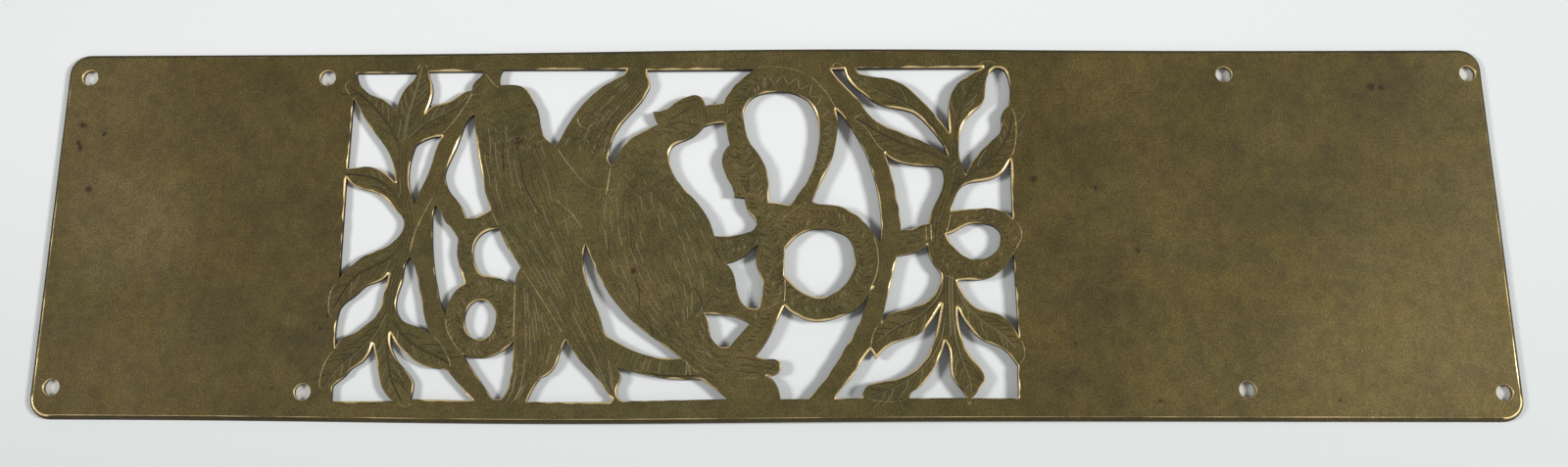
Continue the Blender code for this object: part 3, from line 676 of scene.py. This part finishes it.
# ---------------- the sheet
class Scatter:
    """Points on the front, kept a little apart from each other."""

    CELL = 0.5

    def __init__(self):
        self.cells = {}
        self.points = []

    def cell(self, p):
        return math.floor(p.x / self.CELL), math.floor(p.y / self.CELL)

    def block(self, p):
        """Keeps others away from a point that is in the mesh already."""
        self.cells.setdefault(self.cell(p), []).append(p)

    def add(self, p, gap):
        """Adds a point if nothing is nearer than the gap."""
        reach = math.ceil(gap / self.CELL)
        cx, cy = self.cell(p)
        for ix in range(cx - reach, cx + reach + 1):
            for iy in range(cy - reach, cy + reach + 1):
                for q in self.cells.get((ix, iy), ()):
                    if (p - q).length_squared < gap * gap:
                        return
        self.block(p)
        self.points.append(p)


def staggered(x_range, spacing):
    """Points in staggered rows over the height of the plate."""
    rows = math.ceil((high.y - low.y) / MM / spacing)
    columns = math.ceil((x_range[1] - x_range[0]) / spacing)
    for row in range(rows + 1):
        for column in range(columns):
            x = x_range[0] + (column + 0.5 * (row % 2)) * spacing
            yield Vector((x, low.y / MM + row * spacing))


def tapered(stroke):
    """(point, half width, depth) along an engraved line, which thins and rises at its ends."""
    points, half_width, depth, _ = stroke
    last = len(points) - 1
    for n, p in enumerate(points):
        share = min(1.0, min(n, last - n) * GROOVE_STEP / TAPER)
        yield p, half_width * math.sqrt(share), depth * share


def groove_lines(stroke):
    """The middle of an engraved line and its two borders, which meet at its ends."""
    steps = list(tapered(stroke))
    lines = [[p for p, _, _ in steps]]
    for side in (-1, 1):
        border = []
        for n, (p, half_width, _) in enumerate(steps):
            along = steps[min(n + 1, len(steps) - 1)][0] - steps[max(n - 1, 0)][0]
            border.append(p + left_of(along).normalized() * side * half_width)
        lines.append(border)
    return lines


def groove_finder():
    """A function that gives (depth, dirt, shine) of the engraving at a point."""
    pieces = []
    tones = []
    for stroke in strokes:
        steps = list(tapered(stroke))
        pieces += zip(steps, steps[1:])
        tones += [stroke[3]] * (len(steps) - 1)
    tree = tree_of([start[0].lerp(end[0], 0.5) for start, end in pieces])
    reach = GROOVE_STEP / 2 + max(stroke[1] for stroke in strokes)

    def groove_at(p):
        deepest = 0.0
        tone = BLACK
        for _, number, _ in tree.find_range((p.x, p.y, 0.0), reach):
            (a, width_a, depth_a), (b, width_b, depth_b) = pieces[number]
            along = b - a
            share = min(1.0, max(0.0, (p - a).dot(along) / along.length_squared))
            distance = (p - a.lerp(b, share)).length
            half_width = width_a + (width_b - width_a) * share
            if distance < half_width:
                depth = (depth_a + (depth_b - depth_a) * share) * (1 - distance / half_width)
                if depth > deepest:
                    deepest = depth
                    tone = tones[number]
        fullness = min(1.0, deepest / FULL_DEPTH)
        return deepest, tone[0] * fullness, tone[1] * fullness

    return groove_at


def uneven(p, pace, layer):
    """Noise about 0 over the plate, which changes faster with a higher pace."""
    return noise.noise(Vector((p.x * pace, p.y * pace, layer)))


def rub_and_highlight(p):
    """How much the edge of an opening has been filed and rubbed here, where 1 is usual, which also
    sets its painted highlight.
    """
    # rounder edges and a stronger painted highlight towards the right, where the right lamp is
    # stronger
    to_the_right = min(1.0, max(0.0, p.x / 50))
    rub_and_glint = 0.8 + 0.4 * to_the_right + 2.0 * uneven(p, 0.07, 3.1) + uneven(p, 0.31, 7.7)
    return min(MOST_RUB_AND_GLINT, max(LEAST_RUB_AND_GLINT, rub_and_glint))


def edge_wear_and_highlight(p, step):
    """How much wear and painted highlight a ring of the outer edge gets: the first, and the first
    three at the low corners.
    """
    if abs(p.x) > LOW_CORNER[0] and p.y < LOW_CORNER[1] and step < 4:
        return 0.75
    if step > 1:
        return 0.0
    # the painted highlight is stronger along the lower edge
    lower = min(1.0, max(0.0, 0.5 - p.y / 70))
    return 0.42 + 0.38 * lower + 0.5 * uneven(p, 0.09, 5.2)


def front_points(lines):
    """The points between these lines: rows along the openings, then a grid, finer in the panel."""
    scatter = Scatter()
    for line in lines:
        for p in line:
            scatter.block(p)
    for loop in openings:
        for p, into in zip(loop, inward(loop)):
            for row in ARRIS_ROWS:
                inset = row * ARRIS_WIDTH
                q = p + into * inset
                if to_opening(q) > 0.93 * inset:
                    scatter.add(q, 0.12)
    for p in staggered(PANEL, PANEL_GRID):
        if to_opening(p) > 0.7 and to_rim(p) > 0.8:
            scatter.add(p, 0.4 * PANEL_GRID)
    for p in staggered((low.x / MM, high.x / MM), PLAIN_GRID):
        if to_rim(p) > 1.0 and not PANEL[0] < p.x < PANEL[1]:
            scatter.add(p, 0.5 * PLAIN_GRID)
    return scatter.points


def filled(loops, inner=(), chains=()):
    """(points, triangles turning left, loops as point numbers) of loop 0 less the others."""
    coords = []
    members = []
    for loop in loops:
        members.append(list(range(len(coords), len(coords) + len(loop))))
        coords += loop
    coords += inner
    edges = []
    for chain in chains:
        first = len(coords)
        coords += chain
        edges += [(n, n + 1) for n in range(first, len(coords) - 1)]
    faces = [members[0]] + [member[::-1] for member in members[1:]]
    points, _, found, came_from, _, lies_in = delaunay_2d_cdt(coords, edges, faces, 1, 1e-5)
    triangles = []
    for corners, owners in zip(found, lies_in):
        if owners != [0]:
            continue
        a, b, c = corners
        first, second = points[b] - points[a], points[c] - points[a]
        left = first.x * second.y - first.y * second.x > 0
        triangles.append((a, b, c) if left else (a, c, b))
    where = {old: new for new, olds in enumerate(came_from) for old in olds}
    return points, triangles, [[where[number] for number in loop] for loop in members]


class Sheet:
    """The mesh as it grows: its points, the grime, dust and painted dark reflection on each one, its
    wear and painted highlight, and its faces.
    """

    def __init__(self):
        self.vertices = []
        self.engraved = []
        self.wear_and_highlight = []
        self.faces = []

    def point(self, p, z, dirt_and_dark_reflection, wear_and_shine):
        """Adds a point and gives its number."""
        self.vertices.append((p.x, p.y, z))
        self.engraved.append(dirt_and_dark_reflection)
        self.wear_and_highlight.append(wear_and_shine)
        return len(self.vertices) - 1

    def ring(self, loop, z, dirt_and_dark_reflection, wear_and_shine):
        return [self.point(p, z, dirt_and_dark_reflection, wear_and_shine) for p in loop]

    def join(self, lower, upper):
        """A wall between two rings of as many points."""
        for i, here in enumerate(lower):
            after = (i + 1) % len(lower)
            self.faces.append((here, lower[after], upper[after], upper[i]))


def add_front(sheet, loops):
    """The engraved front with its rounded openings. Gives the point numbers of each loop."""
    chains = [line for stroke in strokes for line in groove_lines(stroke)]
    points, triangles, rings = filled(loops, front_points(loops + chains), chains)
    groove_at = groove_finder()
    cut_edge = {number for ring in rings[1 + len(screw_holes) :] for number in ring}
    for number, p in enumerate(points):
        near = 0.0 if number in cut_edge else max(0.0, to_opening(p))
        engraving = number not in cut_edge and PANEL[0] < p.x < PANEL[1]
        depth, dirt_and_dark_reflection, shine = groove_at(p) if engraving else (0.0, 0.0, 0.0)
        # the rub sets both the rounding of this edge and its painted highlight
        rub_and_glint = rub_and_highlight(p)
        width = ARRIS_WIDTH * min(MOST_WIDTH, 0.4 + 0.6 * rub_and_glint)
        closeness = max(0.0, 1 - near / width)
        drop = ARRIS_DROP * min(MOST_DROP, rub_and_glint) * closeness**2
        sheet.point(p, THICKNESS - drop - depth, dirt_and_dark_reflection, max(rub_and_glint * closeness, shine))
    sheet.faces += triangles
    return rings


def round_outside(sheet, loop, ring):
    """The rounded outer edge below the front. Gives its lowest loop and that loop's numbers."""
    into = inward(loop)
    for step in range(1, OUTER_STEPS + 1):
        angle = math.radians(90 * step / OUTER_STEPS)
        out = OUTER_ROUND * math.sin(angle)
        z = THICKNESS - OUTER_ROUND * (1 - math.cos(angle))
        foot = [p - d * out for p, d in zip(loop, into)]
        # past the first ring the round is painted darker, as a painted dark reflection of its steep
        # part
        edge = sheet.ring(foot, z, 0.36 if step > 1 else 0.0, 0.0)
        sheet.join(edge, ring)
        # each ring of the round gets its wear and painted highlight
        for number, p in zip(edge, foot):
            sheet.wear_and_highlight[number] = edge_wear_and_highlight(p, step)
        ring = edge
    return foot, ring


def break_screw_hole(sheet, loop, ring):
    """The broken edge of a screw hole, rubbed bright with a painted highlight all round, and the
    narrower loop below it.
    """
    neck = [p - d * HOLE_BREAK for p, d in zip(loop, inward(loop))]
    edge = sheet.ring(neck, THICKNESS - HOLE_BREAK, 0.2, 1.2)
    sheet.join(edge, ring)
    return neck, edge


def darken_opening(sheet, loop, ring):
    """A darker ring on an opening's wall, just below its rounded edge."""
    edge = sheet.ring(loop, THICKNESS - MOST_DROP * ARRIS_DROP - WALL_BAND, 0.5, 0.2)
    sheet.join(edge, ring)
    return loop, edge


def plate_object():
    """The whole sheet as one closed mesh, with the grime, dust and painted dark reflection on each
    point, and its wear and painted highlight.
    """
    sheet = Sheet()
    loops = [outer, *screw_holes, *openings]
    kinds = [round_outside, *[break_screw_hole] * len(screw_holes)]
    kinds += [darken_opening] * len(openings)
    feet = []
    bottoms = []
    for kind, loop, ring in zip(kinds, loops, add_front(sheet, loops)):
        foot, edge = kind(sheet, loop, ring)
        bottom = sheet.ring(foot, 0.0, 1.0, 0.0)
        sheet.join(bottom, edge)
        feet.append(foot)
        bottoms.append(bottom)

    _, triangles, rings = filled(feet)
    number_of = {}
    for ring, bottom in zip(rings, bottoms):
        number_of.update(zip(ring, bottom))
    sheet.faces += [[number_of[i] for i in triangle[::-1]] for triangle in triangles]

    used = sorted({number for face in sheet.faces for number in face})
    renumbered = {old: new for new, old in enumerate(used)}
    mesh = bpy.data.meshes.new("engraved_plate")
    mesh.from_pydata(
        [Vector(sheet.vertices[old]) * MM for old in used],
        [],
        [[renumbered[number] for number in face] for face in sheet.faces],
    )
    for name, values in (("engraved", sheet.engraved), ("wear_and_highlight", sheet.wear_and_highlight)):
        layer = mesh.attributes.new(name, "FLOAT", "POINT")
        layer.data.foreach_set("value", [values[old] for old in used])
    set_sharp_edges(mesh)
    return stand("engraved_plate", mesh)


def set_sharp_edges(mesh):
    """Smooth shading, except at sharp turns and round every flat part."""
    mesh.shade_smooth()
    mesh.set_sharp_from_angle(angle=SHARP_ANGLE)
    flat_beside = {}
    for polygon in mesh.polygons:
        is_flat = abs(polygon.normal.z) > 0.99999
        for key in polygon.edge_keys:
            flat_beside.setdefault(key, []).append(is_flat)
    for edge in mesh.edges:
        if len(set(flat_beside[edge.key])) == 2:
            edge.use_edge_sharp = True


# ---------------- material
class Graph:
    """A short way to write a material's nodes."""

    def __init__(self, name):
        self.material = bpy.data.materials.new(name)
        self.material.use_nodes = True
        self.tree = self.material.node_tree
        self.shader = self.tree.nodes["Principled BSDF"]

    def surface(self, name, value):
        """Sets one of the shader's values."""
        self.connect(value, self.shader.inputs[name])

    def connect(self, value, socket):
        """A number or a colour is set on the socket, and anything else is linked to it."""
        if isinstance(value, (int, float, tuple)):
            socket.default_value = value
        else:
            self.tree.links.new(value, socket)

    def make(self, kind, **settings):
        made = self.tree.nodes.new("ShaderNode" + kind)
        for name, value in settings.items():
            setattr(made, name, value)
        return made

    def math(self, operation, a, b=0.0, clamp=False):
        made = self.make("Math", operation=operation, use_clamp=clamp)
        self.connect(a, made.inputs[0])
        self.connect(b, made.inputs[1])
        return made.outputs[0]

    def times(self, a, b):
        return self.math("MULTIPLY", a, b)

    def spread(self, value, low_in, high_in, low_out=0.0, high_out=1.0):
        """A value between two limits, eased to lie between two others."""
        made = self.make("MapRange", interpolation_type="SMOOTHSTEP")
        for socket, setting in zip(made.inputs, (value, low_in, high_in, low_out, high_out)):
            self.connect(setting, socket)
        return made.outputs["Result"]

    def blend(self, share, first, second, kind="MIX"):
        made = self.make("Mix", data_type="RGBA", blend_type=kind)
        self.connect(share, made.inputs[0])
        self.connect(first, made.inputs[6])
        self.connect(second, made.inputs[7])
        return made.outputs[2]

    def place(self, stretch=(1.0, 1.0, 1.0), turn=0.0):
        """The point on the object in millimetres, turned about the plate's normal and stretched."""
        coordinates = self.make("TexCoord").outputs["Object"]
        turned = self.make("Mapping")
        self.connect(coordinates, turned.inputs["Vector"])
        turned.inputs["Rotation"].default_value = (0.0, 0.0, math.radians(turn))
        turned.inputs["Scale"].default_value = (1 / MM, 1 / MM, 1 / MM)
        pulled = self.make("VectorMath", operation="MULTIPLY")
        self.connect(turned.outputs["Vector"], pulled.inputs[0])
        pulled.inputs[1].default_value = stretch
        return pulled.outputs[0]

    def cloud(self, size, detail, rough, place=None, shift=0.0):
        """Noise about 0.5 with features of this size in millimetres."""
        made = self.make("TexNoise", noise_dimensions="4D")
        self.connect(place or self.place(), made.inputs["Vector"])
        made.inputs["Scale"].default_value = 1 / size
        made.inputs["Detail"].default_value = detail
        made.inputs["Roughness"].default_value = rough
        made.inputs["W"].default_value = shift
        return made.outputs[0]

    def attribute(self, name):
        return self.make("Attribute", attribute_name=name).outputs["Fac"]

    def spot(self, x, y, radius, ragged):
        """1 at a point of the plate, falling to 0 at the radius, with a ragged edge."""
        away = self.make("VectorMath", operation="DISTANCE")
        self.connect(self.place((1.0, 1.0, 0.0)), away.inputs[0])
        away.inputs[1].default_value = (x, y, 0.0)
        uneven = self.times(self.math("SUBTRACT", ragged, 0.5), 1.6 * radius)
        return self.spread(self.math("ADD", away.outputs["Value"], uneven), radius, 0.25 * radius)


# (x, y, radius, strength) of the paler places of the tarnish
PALE_PLACES = [
    (-180, 4, 28, 0.75), (-196, 44, 40, 0.6), (-150, 22, 22, 0.18), (-170, -40, 26, 0.2),
    (198, -38, 76, 0.55), (164, -44, 44, 0.5), (192, 16, 40, 0.24), (120, -44, 26, 0.2),
    (100, 44, 22, 0.22), (197, 50, 16, 0.4), (142, 26, 18, 0.2), (-30, 0, 90, 0.35),
    (64, 0, 14, 0.2), (110, 4, 24, 0.22), (-133, -42, 10, 0.2),
]
# (x, y, radius) of the darker stains
DARK_PLACES = [
    (150, 34, 30), (140, 4, 20), (132, -28, 15), (95, -20, 24),
    (178, 8, 18), (-138, 14, 20), (-124, -26, 18), (80, -16, 20),
    (76, -42, 14), (180, 36, 24), (176, 40, 14), (-146, -24, 18),
    (-125, 2, 14), (-124, -30, 13), (162, 12, 14), (166, 30, 14),
]
# (x, y, radius) of the small brown spots
SPOTS = [
    (-71, 26, 1.6), (-37.5, -11.5, 1.3), (75, 14.5, 1.4), (-197.3, 31, 1.7),
    (-190.6, 28.3, 0.9), (-197.8, 25.6, 1.0), (-197.2, 24, 1.1), (-193.4, 12, 1.3),
    (-122, -24, 0.9), (-124, -27.5, 0.8), (92, 12, 0.9), (171.3, 41.3, 1.7),
    (174.3, 41.1, 1.3), (102.5, -6, 1.0), (106, -47, 0.9), (84, -31.5, 0.7),
    (154, -47, 0.8), (-136, -44, 0.7),
]
# (turn in degrees, length, layer of the noise) of the scratches that lie one way
SCRATCHES = [(18, 26, 11.0), (-31, 14, 12.0), (64, 18, 13.0), (97, 9, 14.0), (4, 34, 15.0)]
SCRATCH_WIDTH = 0.34
STAIN_SHARE = 0.25
SPOT_SHARE = 0.9


def aged_brass():
    """Brown and green tarnish over brass, rubbed bright at the edges, where a painted highlight is
    laid on, and black in the cuts; the steep outer round is painted darker as a dark reflection.
    """
    graph = Graph("aged_brass")
    broad = graph.cloud(34, 4.0, 0.6)
    patch = graph.cloud(11, 5.0, 0.62, shift=2.0)
    hue = graph.cloud(24, 4.0, 0.6, shift=5.0)
    mottle = graph.cloud(3.2, 5.0, 0.75, shift=8.0)
    grain = graph.cloud(0.5, 3.0, 0.8, shift=1.0)
    flecks = graph.cloud(1.1, 2.0, 0.5, shift=21.0)
    ragged = graph.cloud(1.2, 3.0, 0.6, shift=3.0)

    # The tarnish, greener here and browner there.
    colour = graph.blend(graph.spread(hue, 0.3, 0.7), OLIVE, BROWN)
    for x, y, radius, share in PALE_PLACES:
        pale = graph.times(graph.spot(x, y, radius, broad), share)
        colour = graph.blend(pale, colour, PALE)
    for x, y, radius in DARK_PLACES:
        dark = graph.times(graph.spot(x, y, radius, patch), STAIN_SHARE)
        colour = graph.blend(dark, colour, DARK)
    sideways = graph.make("SeparateXYZ")
    graph.connect(graph.place(), sideways.inputs[0])
    to_the_right = graph.spread(sideways.outputs[0], -10, 90)
    colour = graph.blend(to_the_right, colour, YELLOWER, "MULTIPLY")
    to_the_left = graph.spread(sideways.outputs[0], -90, -150)
    colour = graph.blend(to_the_left, colour, BROWNER, "MULTIPLY")
    shade = graph.spread(broad, 0.34, 0.66, 0.9, 1.1)
    for value, low_out, high_out in ((patch, 0.88, 1.12), (mottle, 0.8, 1.2), (grain, 0.5, 1.5)):
        shade = graph.times(shade, graph.spread(value, 0.32, 0.68, low_out, high_out))
    shade = graph.times(shade, graph.spread(flecks, 0.69, 0.77, 1.0, 1.7))
    shade = graph.times(shade, graph.spread(flecks, 0.24, 0.17, 1.0, 0.55))

    # Long and short scratches, as thin streaks of noise that most of the plate hides.
    rubbing = 0.0
    for turn, length, layer in SCRATCHES:
        along = graph.place((1 / length, 1 / SCRATCH_WIDTH, 1.0), turn)
        streak = graph.cloud(1.0, 1.0, 0.4, along, layer)
        hidden = graph.cloud(9.0, 2.0, 0.5, shift=layer)
        line = graph.times(graph.spread(streak, 0.66, 0.76), graph.spread(hidden, 0.5, 0.66))
        rubbing = graph.math("MAXIMUM", rubbing, line)
    shade = graph.times(shade, graph.spread(rubbing, 0.0, 1.0, 1.0, 1.45))
    graded = graph.make("VectorMath", operation="SCALE")
    graph.connect(colour, graded.inputs[0])
    graph.connect(shade, graded.inputs["Scale"])
    colour = graded.outputs[0]

    for x, y, radius in SPOTS:
        brown = graph.times(graph.spot(x, y, radius, ragged), SPOT_SHARE)
        colour = graph.blend(brown, colour, SPOT)

    engraved = graph.attribute("engraved")
    wear_and_highlight = graph.attribute("wear_and_highlight")
    dust = graph.spread(engraved, -0.1, -0.6, 0.0, 0.5)
    colour = graph.blend(dust, colour, DUST)
    # grime in the cuts, on the walls and under the sheet, plus a painted dark reflection on the steep
    # outer round
    dirt_and_dark_reflection = graph.spread(engraved, 0.05, 0.6, 0.0, 0.75)
    colour = graph.blend(dirt_and_dark_reflection, colour, GRIME_AND_DARK_REFLECTION)
    # rubbed edges turn to clean brass, which also paints their highlight
    bright = graph.spread(graph.math("ADD", wear_and_highlight, graph.times(mottle, 0.5)), 0.62, 1.25)
    colour = graph.blend(bright, colour, RUBBED_AND_HIGHLIGHT)
    graph.surface("Base Color", colour)
    graph.surface("Metallic", METALLIC)

    rough = graph.spread(patch, 0.3, 0.7, 0.56, 0.68)
    rough = graph.math("ADD", rough, graph.spread(grain, 0.3, 0.7, -0.05, 0.05))
    rough = graph.math("SUBTRACT", rough, graph.times(bright, 0.34))
    rough = graph.math("ADD", rough, graph.times(dirt_and_dark_reflection, 0.25), clamp=True)
    graph.surface("Roughness", rough)

    height = graph.times(grain, 0.6)
    height = graph.math("ADD", height, graph.times(mottle, 0.4))
    height = graph.math("SUBTRACT", height, graph.times(rubbing, 0.6))
    relief = graph.make("Bump")
    relief.inputs["Strength"].default_value = 0.35
    relief.inputs["Distance"].default_value = 0.06 * MM
    graph.connect(height, relief.inputs["Height"])
    graph.surface("Normal", relief.outputs["Normal"])
    return graph.material


# ---------------- camera, floor and light
def stand(name, data):
    """A new object in the scene."""
    made = bpy.data.objects.new(name, data)
    bpy.context.scene.collection.objects.link(made)
    return made


def set_camera():
    """The camera stands in front of the plate and above it, and looks almost straight down."""
    data = bpy.data.cameras.new("camera")
    camera = stand("camera", data)
    turn = Matrix.Rotation(math.radians(CAMERA_TURN), 4, "Z")
    tilt = Matrix.Rotation(math.radians(CAMERA_TILT), 4, "X")
    roll = Matrix.Rotation(math.radians(CAMERA_ROLL), 4, "Z")
    camera.matrix_world = Matrix.Translation(CAMERA_PLACE) @ turn @ tilt @ roll
    data.sensor_width = SENSOR
    data.lens = LENS
    data.shift_x, data.shift_y = LENS_SHIFT
    data.clip_start = 0.01
    bpy.context.scene.camera = camera


def set_floor():
    """A white table. The real plate is bowed, so the table is a little hollow under its middle."""
    across = [-TABLE_REACH, -1.0] + [0.01 * n for n in range(-40, 41)] + [1.0, TABLE_REACH]
    heights = [-BOW * math.exp(-(((x - BOW_MIDDLE) / BOW_REACH) ** 2)) for x in across]
    vertices = [(x, y, z) for x, z in zip(across, heights) for y in (-TABLE_REACH, TABLE_REACH)]
    faces = [(2 * n, 2 * n + 2, 2 * n + 3, 2 * n + 1) for n in range(len(across) - 1)]
    mesh = bpy.data.meshes.new("table")
    mesh.from_pydata(vertices, [], faces)
    mesh.shade_smooth()
    table = stand("table", mesh)
    graph = Graph("white_table")
    # painted fall-off of light: the table darkens away from a point just behind the plate, left of
    # its middle
    far = graph.make("VectorMath", operation="DISTANCE")
    graph.connect(graph.place((1.0, 2.4, 0.0)), far.inputs[0])
    far.inputs[1].default_value = (-60.0, 140.0, 0.0)
    colour = graph.blend(graph.spread(far.outputs["Value"], 60, 420), TABLE, TABLE_PAINTED_FALLOFF)
    graph.surface("Base Color", colour)
    graph.surface("Roughness", 0.9)
    graph.surface("Specular IOR Level", 0.1)
    mesh.materials.append(graph.material)


def set_light(name, place, size, power):
    """A soft lamp that shines on the middle of the plate."""
    data = bpy.data.lights.new(name, "AREA")
    data.shape = "RECTANGLE"
    data.size, data.size_y = size
    data.energy = power
    light = stand(name, data)
    light.location = place
    light.rotation_euler = (-Vector(place)).to_track_quat("-Z", "Y").to_euler()


def set_surround():
    """A weak white light from everywhere."""
    world = bpy.data.worlds.new("studio")
    bpy.context.scene.world = world
    world.use_nodes = True
    background = world.node_tree.nodes["Background"].inputs
    background["Color"].default_value = (1, 1, 1, 1)
    background["Strength"].default_value = SURROUND


engrave_left_sprig()
engrave_eagle()
engrave_snake()
engrave_right_sprig()
plate = plate_object()
plate.data.materials.append(aged_brass())
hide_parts("brass_plate")
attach(plate, "root")

set_camera()
set_floor()
set_light("lamp_left", (-LAMP_AWAY, LAMP_FORWARD, LAMP_HEIGHT), LAMP_SIZE, LEFT_POWER)
set_light("lamp_right", (LAMP_AWAY, LAMP_FORWARD, LAMP_HEIGHT), LAMP_SIZE, RIGHT_POWER)
set_light("front_fill", FILL_PLACE, FILL_SIZE, FILL_POWER)
set_surround()

bpy.context.scene.view_settings.view_transform = "Standard"
bpy.context.scene.view_settings.look = "None"
